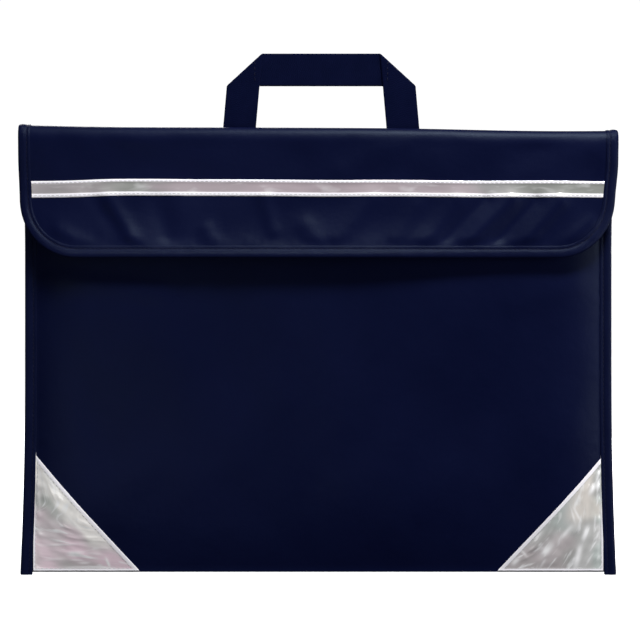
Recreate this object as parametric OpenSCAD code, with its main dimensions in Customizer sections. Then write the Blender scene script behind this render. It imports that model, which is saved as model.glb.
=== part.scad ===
// Portfolio case: a flat pocket of coated cloth with a fold-over flap, bound edges,
// reflective trim and a handle of folded webbing. Units are millimetres.
// X runs across the case, -Y is the front, +Z is up. The origin is the centre of the
// outer box in X and Y, at the lowest point of the case.

/* [Case] */
// Width over the bound edges, at the top and bottom of the case
case_w = 454.5; // [420:0.5:480]
// Height of the top fold above the lowest point
case_h = 340; // [310:1:360]
// How far each side is drawn in at half height, because the pocket is filled
waist_in = 3.5; // [0:0.5:5]
// Height of the flared stretch at the top of a side
flare_h = 90; // [60:5:120]
// Height of the flared stretch at the foot of a side
foot_flare_h = 150; // [60:5:160]
// How far the ends of the side tapes hang below the bottom fold
tape_tail = 3; // [2:0.5:5]
// Thickness of the coated cloth
cloth_t = 0.8; // [0.6:0.1:1.2]

/* [Pocket] */
// Clear depth of the pocket over its flat middle
pocket_gap = 8; // [6:0.5:12]
// Distance of the pocket's mouth below the top fold
mouth_drop = 14; // [12:1:20]
// Width of the slope from a side seam up to the flat middle
side_slope = 24; // [18:1:40]
// Height of the slope from the bottom fold up to the flat middle
bottom_slope = 46; // [30:1:60]

/* [Binding tape] */
// Width of the tape as it shows on one face
tape_w = 8.5; // [6:0.5:12]
// Thickness of one layer of tape
tape_t = 0.6; // [0.4:0.1:0.8]

/* [Flap] */
// Width of the flap over its binding
flap_w = 454; // [424:1:484]
// Height of the flap, from the top fold to its lower edge
flap_h = 99; // [85:0.5:110]
// Radius of the flap's lower corners
flap_r = 45; // [30:1:55]
// Outer radius of the two creases of the top fold
crease_r = 5.5; // [4:0.5:6]
// Clearance between parts that move against each other
move_gap = 0.5; // [0.4:0.1:0.8]

/* [Reflective trim] */
// Height of the strip across the flap
strip_h = 12.5; // [10:0.5:20]
// Distance of the strip's upper edge below the top fold
strip_drop = 40; // [30:0.5:44]
// Thickness of the reflective film
film_t = 0.6; // [0.4:0.1:0.8]
// Width of a corner triangle along the bottom fold
patch_w = 80.5; // [60:0.5:100]
// Height of a corner triangle along the side
patch_h = 89; // [60:1:100]

/* [Closure pads] */
// Length of a hook or loop pad
pad_l = 50; // [30:1:80]
// Height of a hook or loop pad
pad_h = 20; // [16:1:25]
// Thickness of one pad
pad_t = 1.3; // [1:0.1:1.6]
// Distance of a pad's middle from the middle of the case
pad_x = 118; // [80:1:150]
// Height of a pad's lower edge above the flap's lower edge
pad_rise = 13; // [11:0.5:16]

/* [Handle] */
// Width of the webbing
web_w = 25; // [20:1:30]
// Thickness of the webbing
web_t = 1.5; // [1:0.1:2]
// Height of the handle above the top fold
handle_h = 57; // [50:1:70]
// Width across the outer shoulders of the handle
shoulder_w = 144.5; // [125:0.5:160]
// Outward lean of each leg, in degrees
leg_lean = 5; // [0:0.5:8]
// Sideways offset of the handle from the middle of the case
handle_x = 2.2; // [-5:0.1:5]
// Distance of the handle's swing line below the top fold
swing_drop = 16; // [12:1:24]
// Length of webbing sewn down below the swing line
sewn_l = 36; // [30:1:45]

/* [Sewing] */
// Width of a line of thread
thread_w = 0.6; // [0.5:0.1:0.8]
// Height of a line of thread above the cloth
thread_t = 0.3; // [0.2:0.1:0.4]
// Distance of a line of thread from the edge beside it
thread_inset = 1.6; // [1.2:0.1:2.5]

/* [Hidden] */
$fn = 64;

navy = "midnightblue";
navy_tape = "navy";
silver = "gainsboro";
black = "black";
grey = "silver";

LEFT = -1;
RIGHT = 1;
// Overlap that keeps a cutting shape clear of the face that it cuts
cut = 2;

// Layers from the handle forward to the flap, counted from the back panel's outer face
behind = move_gap + 2 * web_t + thread_t;
fold_depth = 3 * cloth_t + pocket_gap + 2 * pad_t + move_gap;
ahead = fold_depth + film_t + thread_t;
back_y = (ahead - behind) / 2;
inner_y = back_y - cloth_t;
face_y = inner_y - pocket_gap - cloth_t;
flap_y = back_y - fold_depth;
loop_y = face_y;
hook_y = flap_y + cloth_t;

// Heights
cloth_z = tape_tail;
fold_drop = 1;
thread_sink = 2 * thread_t;
mouth_z = case_h - mouth_drop;
crease_z = case_h - crease_r;
flap_z = case_h - flap_h;
swing_z = case_h - swing_drop;
strip_z = case_h - strip_drop - strip_h;
pad_z = flap_z + pad_rise;
top_z = case_h + handle_h;
shoulder_z = top_z - web_w;

// Half width of the cloth at height z: widest at both ends, drawn in between them
side_steps = 12;
function cloth_half(z) = case_w / 2 - tape_t - waist_in
    + waist_in * (pow(max(0, 1 - (z - cloth_z) / foot_flare_h), 2)
    + pow(max(0, 1 - (crease_z - z) / flare_h), 2));
seam_x = cloth_half(case_h / 2) - tape_w;
flat_x = seam_x - side_slope;
flat_z = cloth_z + bottom_slope;

// Where the hinge lines of the top fold lie: near its two outer corners
pivot_in = 0.215 * crease_r;

// Outline, drawn in X and Z, pushed along Y between two depths
module slab(y_from, y_to)
    translate([0, y_to, 0]) rotate([90, 0, 0]) linear_extrude(y_to - y_from) children();

// One side's edge of the cloth, as points going up from z_low to z_high
function side_line(side, inset, z_low, z_high) = [
    for (i = [0 : side_steps])
        let (z = z_low + (z_high - z_low) * i / side_steps)
        [side * (cloth_half(z) - inset), z]
];
function reversed(points) = [for (i = [len(points) - 1 : -1 : 0]) points[i]];

module cloth_outline(inset, z_low, z_high)
    polygon(concat(side_line(RIGHT, inset, z_low, z_high),
        reversed(side_line(LEFT, inset, z_low, z_high))));

// A band that follows one side's edge, between two distances inside it
module side_band(side, inset_out, inset_in, z_low, z_high)
    polygon(concat(side_line(side, inset_out, z_low, z_high),
        reversed(side_line(side, inset_in, z_low, z_high))));

// The filled pocket's front, raised by d, as a block that reaches behind the seam
module pocket_block(d) {
    z_end = crease_z + cut;
    base = [[-seam_x, cloth_z + cut], [seam_x, cloth_z + cut], [seam_x, z_end], [-seam_x, z_end]];
    flat = [[-flat_x, flat_z], [flat_x, flat_z], [flat_x, z_end], [-flat_x, z_end]];
    polyhedron(
        points = concat(
            [for (p = base) [p[0], inner_y + cut, p[1]]],
            [for (p = base) [p[0], inner_y - d, p[1]]],
            [for (p = flat) [p[0], inner_y - pocket_gap - d, p[1]]]),
        faces = [[0, 1, 2, 3], [11, 10, 9, 8],
            [0, 4, 5, 1], [1, 5, 6, 2], [2, 6, 7, 3], [3, 7, 4, 0],
            [4, 8, 9, 5], [5, 9, 10, 6], [6, 10, 11, 7], [7, 11, 8, 4]]);
}

module pocket_form(d) union() {
    slab(inner_y - d, inner_y + cut) cloth_outline(0, cloth_z, crease_z);
    pocket_block(d);
}

// A layer that lies on the pocket's front, between two heights above the cavity
module pocket_skin(d_in, d_out) difference() {
    pocket_form(d_out);
    pocket_form(d_in);
}

module back_panel() color(navy)
    slab(inner_y, back_y) cloth_outline(0, cloth_z, crease_z - move_gap);

module front_panel() color(navy) {
    intersection() {
        difference() {
            union() {
                slab(inner_y - cloth_t, inner_y) cloth_outline(0, cloth_z, crease_z);
                pocket_block(cloth_t);
            }
            pocket_block(0);
        }
        slab(face_y - cut, inner_y) translate([-case_w / 2, cloth_z])
            square([case_w, mouth_z - cloth_z]);
    }
    bottom_fold();
}

// The cloth turned up under the pocket, between the two side tapes
module bottom_fold() {
    edge_x = cloth_half(cloth_z) - tape_w;
    slab(inner_y - cloth_t, back_y) translate([-edge_x, cloth_z - fold_drop])
        square([2 * edge_x, fold_drop]);
}

// Tape folded over the pocket's mouth, between the side seams
module mouth_binding() color(navy_tape) {
    tape_x = seam_x - 4;
    difference() {
        intersection() {
            difference() {
                pocket_block(cloth_t + tape_t);
                pocket_block(-tape_t);
            }
            slab(face_y - cut, inner_y) translate([-tape_x, mouth_z - tape_w])
                square([2 * tape_x, tape_w + tape_t]);
        }
        intersection() {
            difference() {
                pocket_block(cloth_t);
                pocket_block(0);
            }
            slab(face_y - cut, inner_y + cut) translate([-seam_x, mouth_z - 2 * tape_w])
                square([2 * seam_x, 2 * tape_w]);
        }
    }
}

// Thread across the flat part of the mouth's tape
module mouth_thread() color(black)
    slab(face_y - tape_t - thread_t, face_y - tape_t)
        translate([-flat_x, mouth_z - tape_w + thread_inset]) square([2 * flat_x, thread_w]);

// Tape folded round both layers at a side, from its tail up to the back crease
module side_binding(side) color(navy_tape) {
    front_y = inner_y - cloth_t - tape_t;
    difference() {
        slab(front_y, back_y + tape_t)
            side_band(side, -tape_t, tape_w, 0, crease_z - move_gap);
        slab(front_y + tape_t, back_y)
            side_band(side, 0, tape_w + cut, cloth_z, crease_z);
    }
}

// The needle thread on the front of a side's tape and the bobbin thread on its back
module side_thread(side) color(black) {
    front_y = inner_y - cloth_t - tape_t;
    for (y = [front_y - thread_t, back_y + tape_t])
        slab(y, y + thread_t) side_band(side, tape_w - thread_inset - thread_w,
            tape_w - thread_inset, cloth_z, crease_z - cut);
}

// Right triangle in a lower corner of the front, its square corner at the side tape
module patch_outline(side, inset) {
    edge_x = cloth_half(cloth_z) - tape_w;
    across = inset * (1 + sqrt(2));
    polygon([
        [side * (edge_x - inset), cloth_z + inset],
        [side * (edge_x - patch_w + across), cloth_z + inset],
        [side * (edge_x - inset), cloth_z + patch_h - across]]);
}

module on_front(lift, height) intersection() {
    pocket_skin(lift, lift + height);
    slab(face_y - 2 * cut, inner_y + cut) children();
    slab(face_y - 2 * cut, inner_y + cut) cloth_outline(tape_w, cloth_z, mouth_z);
}

module corner_patch(side) color(silver)
    on_front(cloth_t, film_t) patch_outline(side, 0);

module patch_thread(side) color(grey)
    on_front(cloth_t + film_t, thread_t) difference() {
        patch_outline(side, thread_inset);
        patch_outline(side, thread_inset + thread_w);
    }

// Rectangle of a closure pad, and the line of thread round its edge
module pad_outline(side, inset)
    translate([side * pad_x - pad_l / 2 + inset, pad_z + inset])
        square([pad_l - 2 * inset, pad_h - 2 * inset]);

module pad_thread_outline(side) difference() {
    pad_outline(side, thread_inset);
    pad_outline(side, thread_inset + thread_w);
}

// A pad whose pile lets its thread sink in, so that the two pads can meet
module loop_pad(side) color(black) difference() {
    slab(loop_y - pad_t, loop_y) pad_outline(side, 0);
    slab(loop_y - pad_t - cut, loop_y - pad_t + thread_sink) pad_thread_outline(side);
}

module loop_thread(side) color(navy)
    slab(loop_y - pad_t + thread_sink - thread_t, loop_y - pad_t + thread_sink)
        pad_thread_outline(side);

module hook_pad(side) color(black) difference() {
    slab(hook_y, hook_y + pad_t) pad_outline(side, 0);
    slab(hook_y + pad_t - thread_sink, hook_y + pad_t + cut) pad_thread_outline(side);
}

module hook_thread(side) color(navy)
    slab(hook_y + pad_t - thread_sink, hook_y + pad_t - thread_sink + thread_t)
        pad_thread_outline(side);

// Outer edge of a handle leg at height z, and the width of a leaning leg measured level
function leg_edge(z) = shoulder_w / 2 + (shoulder_z - z) * tan(leg_lean);
leg_level_w = web_w / cos(leg_lean);

module leg_outline(side, inset, z_low, z_high)
    translate([handle_x, 0]) polygon([
        [side * (leg_edge(z_low) - inset), z_low],
        [side * (leg_edge(z_low) - leg_level_w + inset), z_low],
        [side * (leg_edge(z_high) - leg_level_w + inset), z_high],
        [side * (leg_edge(z_high) - inset), z_high]]);

module handle_end(side) color(navy_tape)
    slab(back_y, back_y + web_t)
        leg_outline(side, 0, swing_z - sewn_l, swing_z - move_gap);

// A box of stitches with both diagonals, which holds an end of the handle down
module handle_end_thread(side) color(black) {
    inset = 3;
    z_low = swing_z - sewn_l + inset;
    z_high = swing_z - inset;
    x_low = leg_edge(z_low) - leg_level_w / 2;
    x_high = leg_edge(z_high) - leg_level_w / 2;
    half = leg_level_w / 2 - inset;
    slab(back_y + web_t, back_y + web_t + thread_t) {
        difference() {
            leg_outline(side, inset, z_low, z_high);
            leg_outline(side, inset + thread_w, z_low + thread_w, z_high - thread_w);
        }
        for (way = [-1, 1])
            translate([handle_x, 0]) polygon([
                [side * (x_low - way * half), z_low],
                [side * (x_low - way * (half - thread_w)), z_low],
                [side * (x_high + way * half), z_high],
                [side * (x_high + way * (half - thread_w)), z_high]]);
    }
}

// The cloth's section where it turns over the pocket's mouth: an arch with two creases
module arch_section(inset) {
    r = crease_r - inset;
    for (y = [back_y - crease_r, flap_y + crease_r])
        translate([y, crease_z]) circle(r);
    translate([flap_y + crease_r, crease_z]) square([fold_depth - 2 * crease_r, r]);
}

module arch(inset_out, inset_in, x_low, x_high)
    translate([x_low, 0, 0]) rotate([90, 0, 90]) linear_extrude(x_high - x_low)
        intersection() {
            difference() {
                arch_section(inset_out);
                arch_section(inset_in);
                translate([flap_y + crease_r, crease_z - crease_r])
                    square([fold_depth - 2 * crease_r, crease_r - inset_in]);
            }
            translate([flap_y - cut, crease_z]) square([fold_depth + 2 * cut, crease_r + cut]);
        }

fold_x = case_w / 2 - tape_t;

module top_fold() color(navy)
    arch(0, cloth_t, -fold_x, fold_x);

// Tape round the end of the top fold: a layer above the cloth, a layer below and a rim
module fold_binding(side) color(navy_tape) {
    x_in = side > 0 ? fold_x - tape_w : -fold_x - tape_t;
    difference() {
        arch(-tape_t, cloth_t + tape_t, x_in, x_in + tape_w + tape_t);
        arch(0, cloth_t, -fold_x, fold_x);
    }
}

// The flap's outline, grown by a distance, open at the crease
module flap_outline(grow, z_high) {
    half = flap_w / 2 - tape_t + grow;
    z_low = flap_z + tape_t - grow;
    r = flap_r - tape_t + grow;
    translate([-half, z_low + r]) square([2 * half, z_high - z_low - r]);
    translate([r - half, z_low]) square([2 * (half - r), r]);
    for (side = [LEFT, RIGHT])
        translate([side * (half - r), z_low + r]) circle(r);
}

flap_top = crease_z - move_gap;

module flap_panel() color(navy)
    slab(flap_y, flap_y + cloth_t) flap_outline(0, flap_top);

module flap_binding() color(navy_tape) difference() {
    slab(flap_y - tape_t, flap_y + cloth_t + tape_t) difference() {
        flap_outline(tape_t, flap_top);
        flap_outline(-tape_w, flap_top + cut);
    }
    slab(flap_y, flap_y + cloth_t) flap_outline(0, flap_top + cut);
}

module flap_thread() color(black)
    for (y = [flap_y - tape_t - thread_t, flap_y + cloth_t + tape_t])
        slab(y, y + thread_t) difference() {
            flap_outline(thread_inset + thread_w - tape_w, flap_top - cut);
            flap_outline(thread_inset - tape_w, flap_top);
        }

strip_x = flap_w / 2 - tape_t - tape_w;

module reflective_strip() color(silver)
    slab(flap_y - film_t, flap_y)
        translate([-strip_x, strip_z]) square([2 * strip_x, strip_h]);

module strip_thread() color(grey)
    slab(flap_y - film_t - thread_t, flap_y - film_t)
        for (z = [strip_z + thread_inset, strip_z + strip_h - thread_inset - thread_w])
            translate([-strip_x, z]) square([2 * strip_x, thread_w]);

// The webbing turns a corner by folding back on itself, so each shoulder has two layers
web_y = back_y + move_gap;
bar_half = shoulder_w / 2;
top_half = leg_level_w - leg_edge(top_z);
bend_r = 0.8 * web_t;
bend_in = 0.2 * web_t;

module shoulder_bend(side) {
    low = [handle_x + side * bar_half, shoulder_z];
    high = [handle_x - side * top_half, top_z];
    along = (high - low) / norm(high - low);
    out = side * [along[1], -along[0]];
    slab(web_y + bend_in, web_y + 2 * web_t - bend_in) polygon([
        low + bend_r * (along - out), low + bend_r * (along + out),
        high - bend_r * (along - out), high - bend_r * (along + out)]);
}

module handle_webbing() color(navy_tape) {
    for (side = [LEFT, RIGHT]) {
        slab(web_y, web_y + web_t) translate([handle_x, 0]) polygon([
            [side * leg_edge(swing_z), swing_z],
            [side * (leg_edge(swing_z) - leg_level_w), swing_z],
            [-side * top_half, top_z],
            [side * bar_half, shoulder_z]]);
        shoulder_bend(side);
    }
    slab(web_y + web_t, web_y + 2 * web_t) translate([handle_x, 0]) polygon([
        [-bar_half, shoulder_z], [bar_half, shoulder_z],
        [-top_half, top_z], [top_half, top_z]]);
}

// Two short rows of stitches that hold a folded shoulder
module handle_fold_thread(side) color(black) {
    inset = 4;
    low = [bar_half - leg_level_w + inset, shoulder_z + inset];
    high = [low[0], top_z - inset];
    slab(web_y + 2 * web_t, web_y + 2 * web_t + thread_t) translate([handle_x, 0]) polygon([
        [side * low[0], low[1]], [side * (low[0] + thread_w), low[1]],
        [side * (high[0] + thread_w), high[1]], [side * high[0], high[1]]]);
}

back_panel();
front_panel();
mouth_binding();
mouth_thread();
side_binding(LEFT);  // side_binding_left
side_binding(RIGHT);  // side_binding_right
side_thread(LEFT);  // side_thread_left
side_thread(RIGHT);  // side_thread_right
corner_patch(LEFT);  // corner_patch_left
corner_patch(RIGHT);  // corner_patch_right
patch_thread(LEFT);  // patch_thread_left
patch_thread(RIGHT);  // patch_thread_right
loop_pad(LEFT);  // loop_pad_left
loop_pad(RIGHT);  // loop_pad_right
loop_thread(LEFT);  // loop_thread_left
loop_thread(RIGHT);  // loop_thread_right
handle_end(LEFT);  // handle_end_left
handle_end(RIGHT);  // handle_end_right
handle_end_thread(LEFT);  // handle_end_thread_left
handle_end_thread(RIGHT);  // handle_end_thread_right
top_fold();
fold_binding(LEFT);  // fold_binding_left
fold_binding(RIGHT);  // fold_binding_right
flap_panel();
flap_binding();
flap_thread();
reflective_strip();
strip_thread();
hook_pad(LEFT);  // hook_pad_left
hook_pad(RIGHT);  // hook_pad_right
hook_thread(LEFT);  // hook_thread_left
hook_thread(RIGHT);  // hook_thread_right
handle_webbing();
handle_fold_thread(LEFT);  // handle_fold_thread_left
handle_fold_thread(RIGHT);  // handle_fold_thread_right
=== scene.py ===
"""Portfolio case: the visible cloth, tape, webbing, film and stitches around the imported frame."""
import math

import bmesh
import bpy
import numpy as np
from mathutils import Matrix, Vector


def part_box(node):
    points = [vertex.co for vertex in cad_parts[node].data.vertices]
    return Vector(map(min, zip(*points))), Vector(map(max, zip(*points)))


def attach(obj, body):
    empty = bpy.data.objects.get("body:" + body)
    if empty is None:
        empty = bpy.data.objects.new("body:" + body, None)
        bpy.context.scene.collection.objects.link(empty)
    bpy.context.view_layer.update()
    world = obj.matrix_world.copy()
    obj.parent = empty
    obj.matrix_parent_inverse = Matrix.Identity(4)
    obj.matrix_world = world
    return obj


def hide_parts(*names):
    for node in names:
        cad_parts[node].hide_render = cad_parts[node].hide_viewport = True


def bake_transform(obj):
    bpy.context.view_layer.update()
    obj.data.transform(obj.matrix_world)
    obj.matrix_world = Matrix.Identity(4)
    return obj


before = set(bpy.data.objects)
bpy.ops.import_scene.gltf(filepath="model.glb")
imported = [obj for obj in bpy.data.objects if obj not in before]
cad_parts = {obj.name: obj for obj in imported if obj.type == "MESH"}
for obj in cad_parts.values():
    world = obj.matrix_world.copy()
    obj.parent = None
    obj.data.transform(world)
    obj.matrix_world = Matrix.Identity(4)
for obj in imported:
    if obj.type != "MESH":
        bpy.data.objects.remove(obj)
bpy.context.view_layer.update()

# ---------------------------------------------------------------- sizes, in millimetres
MM = 0.001
TINY = 1e-9


def low(node):
    return np.array(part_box(node)[0]) / MM


def high(node):
    return np.array(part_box(node)[1]) / MM


BACK_Y = high("back_panel")[1]
INNER_Y = low("back_panel")[1]
CLOTH = BACK_Y - INNER_Y
FACE_Y = low("front_panel")[1]
FLAP_Y = low("flap_panel")[1]
CLOTH_Z = low("back_panel")[2]
MOUTH_Z = high("front_panel")[2]
CREASE_Z = low("top_fold")[2]
TOP_Z = high("top_fold")[2]
CASE_HALF = high("top_fold")[0]
FLAP_HALF = high("flap_panel")[0]
FLAP_LOW = low("flap_panel")[2]
TAPE_T = FLAP_LOW - low("flap_binding")[2]
TAPE_W = 8.5
# the tape's stitches lie in a groove: how far in from the edge, and how high over the cloth
GROOVE, GROOVE_LIFT = 5.9, 0.46
WAIST_IN = 3.5
FLARE_H, FOOT_FLARE_H = 90.0, 150.0
FLAP_R = 45.0 - TAPE_T
GAP = INNER_Y - CLOTH - FACE_Y
SEAM_X = CASE_HALF - WAIST_IN - TAPE_W


def smooth(t):
    t = np.clip(t, 0, 1)
    return t * t * (3 - 2 * t)


def run_length(points):
    """Distance along a line of points, from the first to each of them."""
    steps = np.linalg.norm(np.diff(points, axis=0), axis=1)
    return np.concatenate([[0], np.cumsum(steps)])


def cloth_half(z):
    """Half width of the case's cloth at height z: widest at both ends."""
    foot = np.clip(1 - (z - CLOTH_Z) / FOOT_FLARE_H, 0, 1) ** 2
    head = np.clip(1 - (CREASE_Z - z) / FLARE_H, 0, 1) ** 2
    return CASE_HALF - WAIST_IN + WAIST_IN * np.maximum(foot, head)


def ripples(x, z, wavelength, seed, count=9):
    """Smooth irregular waves of about one wavelength, between roughly -1 and 1."""
    rng = np.random.RandomState(seed)
    total = 0
    for _ in range(count):
        angle = rng.uniform(0, math.pi)
        k = 2 * math.pi / (wavelength * rng.uniform(0.7, 1.5))
        phase = rng.uniform(0, 2 * math.pi)
        total = total + np.sin(k * (x * math.cos(angle) + z * math.sin(angle)) + phase)
    return total / math.sqrt(count)


def ridge(x, z, a, b, width, height):
    """A soft fold that runs from a to b and dies away at its ends."""
    (ax, az), (bx, bz) = a, b
    dx, dz = bx - ax, bz - az
    length = math.hypot(dx, dz)
    t = ((x - ax) * dx + (z - az) * dz) / length
    across = ((x - ax) * dz - (z - az) * dx) / length
    beyond = np.maximum(np.maximum(-t, t - length), 0)
    return height * np.exp(-(across / width) ** 2 - (beyond / (0.9 * width)) ** 2)


# ---------------------------------------------------------------- the path over the fold
BACK_R = 5.5
FRONT_RY, FRONT_RZ = 6.0, 11.0


def fold_path():
    """Outer face of the cloth in Y and Z: up the back, over the top and down the flap."""
    points = [(BACK_Y, z) for z in np.arange(CLOTH_Z, CREASE_Z, 1.0)]
    for a in np.linspace(0, math.pi / 2, 16):
        points.append((BACK_Y - BACK_R * (1 - math.cos(a)), TOP_Z - BACK_R * (1 - math.sin(a))))
    for a in np.linspace(0, math.pi / 2, 24):
        points.append((FLAP_Y + FRONT_RY * (1 - math.sin(a)), TOP_Z - FRONT_RZ * (1 - math.cos(a))))
    points += [(FLAP_Y, z) for z in np.arange(TOP_Z - FRONT_RZ - 1, FLAP_LOW, -1.0)]
    points.append((FLAP_Y, FLAP_LOW))
    points = np.array(points)
    s = run_length(points)
    return s - s[np.argmax(points[:, 1])], points


PATH_S, PATH_P = fold_path()
DOWN_S, DOWN_Z = PATH_S[PATH_S > 0], PATH_P[PATH_S > 0][:, 1]
S_BACK, S_END = PATH_S[0], PATH_S[-1]
S_FRONT = S_END - (TOP_Z - FRONT_RZ - FLAP_LOW)


def s_at(z):
    """The way over the fold to height z on the flap."""
    return np.interp(-np.asarray(z), -DOWN_Z, DOWN_S)


# soft folds: from, to, width and height
FLAP_RIDGES = [
    ((-158, 284), (-137, 250), 6.5, 1.4), ((-196, 262), (-176, 250), 6, 0.9),
    ((-84, 262), (-79, 248), 7, 1.2), ((-41, 287), (-34, 262), 6, 0.9),
    ((-10, 266), (2, 250), 7, 0.9), ((40, 286), (14, 256), 8, 1.1),
    ((74, 280), (58, 256), 7, 0.7), ((104, 286), (80, 252), 7, 1.1),
    ((146, 286), (112, 252), 6.5, 1.9), ((184, 284), (152, 250), 7, 1.8),
    ((208, 268), (186, 250), 6, 0.9), ((126, 286), (96, 254), 5, -1.0),
    ((165, 286), (134, 252), 5, -1.2), ((-122, 286), (-112, 252), 9, -1.0),
    ((-172, 290), (-150, 262), 6, -0.6), ((64, 330), (20, 306), 10, 0.5),
    ((-150, 322), (-96, 300), 14, -0.8), ((170, 326), (120, 302), 12, -0.5),
]
FRONT_RIDGES = [
    ((-205, 226), (-120, 214), 7, 0.8), ((196, 222), (150, 205), 9, 0.6),
    ((-196, 200), (-170, 120), 12, -0.5), ((70, 60), (190, 120), 30, 0.5),
    ((-150, 40), (-40, 20), 18, 0.4), ((60, 16), (130, 24), 10, 0.4), ((-60, 190), (40, 150), 40, -0.5),
]


def flap_lift(x, z, s):
    """How far the flap's cloth stands out from its flat place."""
    below = S_END - s
    side = np.abs(x)
    curl = 3.2 + 5.6 * (1 - smooth((x - 10) / 150))
    lift = curl * np.clip(1 - below / 48, 0, 1) ** 1.7
    lift -= 2.2 * smooth((side - 186) / 40) * smooth((s - 18) / 30)
    folds = sum(ridge(x, z, a, b, w, 1.25 * h) for a, b, w, h in FLAP_RIDGES)
    calm = smooth((below - 6) / 10) * smooth((CASE_HALF - 6 - side) / 12)
    lift += folds * calm * smooth((s - S_FRONT + 6) / 12)
    lift += 0.28 * ripples(x, z, 46, 3) * calm * smooth((s - 6) / 16)
    pucker = np.exp(-np.maximum(below - 9, 0) / 7) + np.exp(-np.maximum(FLAP_HALF - 9 - side, 0) / 6)
    lift += 0.08 * ripples(x * 1.6, z, 13, 7) * np.clip(pucker, 0, 1) * smooth((s - 14) / 12)
    return lift


def path_at(s):
    """Y and Z of the plain path over the fold."""
    return np.stack([np.interp(s, PATH_S, PATH_P[:, 0]), np.interp(s, PATH_S, PATH_P[:, 1])])


def over_point(x, s):
    """A point of the cloth's outer face: s is the way over the fold, zero at the top."""
    inside = np.clip(s, S_BACK, S_END)
    y, z = path_at(inside)
    z = z - np.maximum(S_BACK - s, 0) - np.maximum(s - S_END, 0)
    step = 0.5
    dy, dz = path_at(inside + step) - path_at(inside - step)
    length = np.hypot(dy, dz) + TINY
    ny, nz = dz / length, -dy / length
    calm_back = smooth((-s - 24) / 30) * smooth((CASE_HALF - 8 - np.abs(x)) / 30)
    back_lift = calm_back * -0.28 * (1 + 0.9 * ripples(x, z, 150, 21))
    lift = np.where(s > 0, flap_lift(x, z, s), back_lift)
    z_tilt = -2.3 * (x / CASE_HALF) * np.exp(-((TOP_Z - z) / 26) ** 2)
    droop = 0.35 * ripples(x, 0 * x, 190, 5) * np.exp(-((TOP_Z - z) / 16) ** 2)
    draw_in = smooth((s - 30) / 36) * np.where(x > 0, 2.4, 1.0) * smooth((np.abs(x) - 150) / 70)
    return np.stack([x - np.sign(x) * draw_in, y + ny * lift, z + nz * lift + z_tilt + droop], -1)


def front_lift(x, z):
    """How far the front panel's outer face stands forward of the side seams."""
    side = np.clip((SEAM_X + 0.5 - np.abs(x)) / 44, 0, 1)
    foot = np.clip((z - CLOTH_Z - 2) / 78, 0, 1)
    dome = (1 - (1 - side) ** 2.3) * (1 - (1 - foot) ** 2.1)
    lift = (GAP - 0.6) * dome
    open_area = smooth((232 - z) / 40)
    lift = lift + dome * open_area * (0.55 * ripples(x, z, 150, 11) - 0.2)
    lift = lift + dome * open_area * 0.16 * ripples(x, z, 52, 13)
    folds = sum(ridge(x, z, *fold) for fold in FRONT_RIDGES)
    lift = lift + folds * np.clip(dome * 1.4, 0, 1)
    near = np.exp(-np.maximum(SEAM_X - 1 - np.abs(x), 0) / 6) * (np.abs(x) < SEAM_X)
    lift = lift + 0.14 * near * ripples(x * 0.6, z * 1.4, 12, 17)
    return lift


def front_point(x, z):
    """A point of the front cloth's outer face."""
    return np.stack([x, INNER_Y - CLOTH - front_lift(x, z), z], -1)


def with_normal(surface, p, q, sign):
    """Point and outward normal of a surface at parameters p and q."""
    step = 0.4
    dp = surface(p + step, q) - surface(p - step, q)
    dq = surface(p, q + step) - surface(p, q - step)
    n = np.cross(dp, dq) * sign
    return surface(p, q), n / (np.linalg.norm(n, axis=-1, keepdims=True) + TINY)


def over(x, s):
    return with_normal(over_point, x, s, -1.0)


def front(x, z):
    return with_normal(front_point, x, z, 1.0)


# ---------------------------------------------------------------- mesh making
def make(name, verts, faces, uvs=None, attributes=None, sharp=35):
    """A smooth-shaded mesh object from millimetre points; uvs and attributes are per point."""
    mesh = bpy.data.meshes.new(name)
    mesh.from_pydata([tuple(v) for v in np.asarray(verts) * MM], [], faces)
    mesh.validate()
    for polygon in mesh.polygons:
        polygon.use_smooth = True
    if uvs is not None:
        layer = mesh.uv_layers.new(name="UVMap")
        order = np.empty(len(mesh.loops), dtype=np.int32)
        mesh.loops.foreach_get("vertex_index", order)
        layer.data.foreach_set("uv", (np.asarray(uvs, dtype=float)[order] * MM).ravel())
    for key, values in (attributes or {}).items():
        attribute = mesh.attributes.new(key, "FLOAT", "POINT")
        attribute.data.foreach_set("value", np.asarray(values, dtype=np.float32))
    if sharp:
        mesh.set_sharp_from_angle(angle=math.radians(sharp))
    piece = bpy.data.objects.new(name, mesh)
    bpy.context.scene.collection.objects.link(piece)
    return piece


def facing(faces, verts, outward):
    """The faces, all turned over if the first one doesn't face outward."""
    corners = verts[np.array(faces[0])]
    normal = np.cross(corners[1] - corners[0], corners[-1] - corners[0])
    return [f[::-1] for f in faces] if np.dot(normal, outward) < 0 else faces


def tube_faces(count, size):
    """Faces of a tube of count rings with size points each, capped at both ends."""
    faces = []
    for i in range(count - 1):
        for k in range(size):
            m = (k + 1) % size
            faces.append([i * size + k, i * size + m, (i + 1) * size + m, (i + 1) * size + k])
    faces.append(list(range(size))[::-1])
    faces.append([(count - 1) * size + k for k in range(size)])
    return faces


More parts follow.
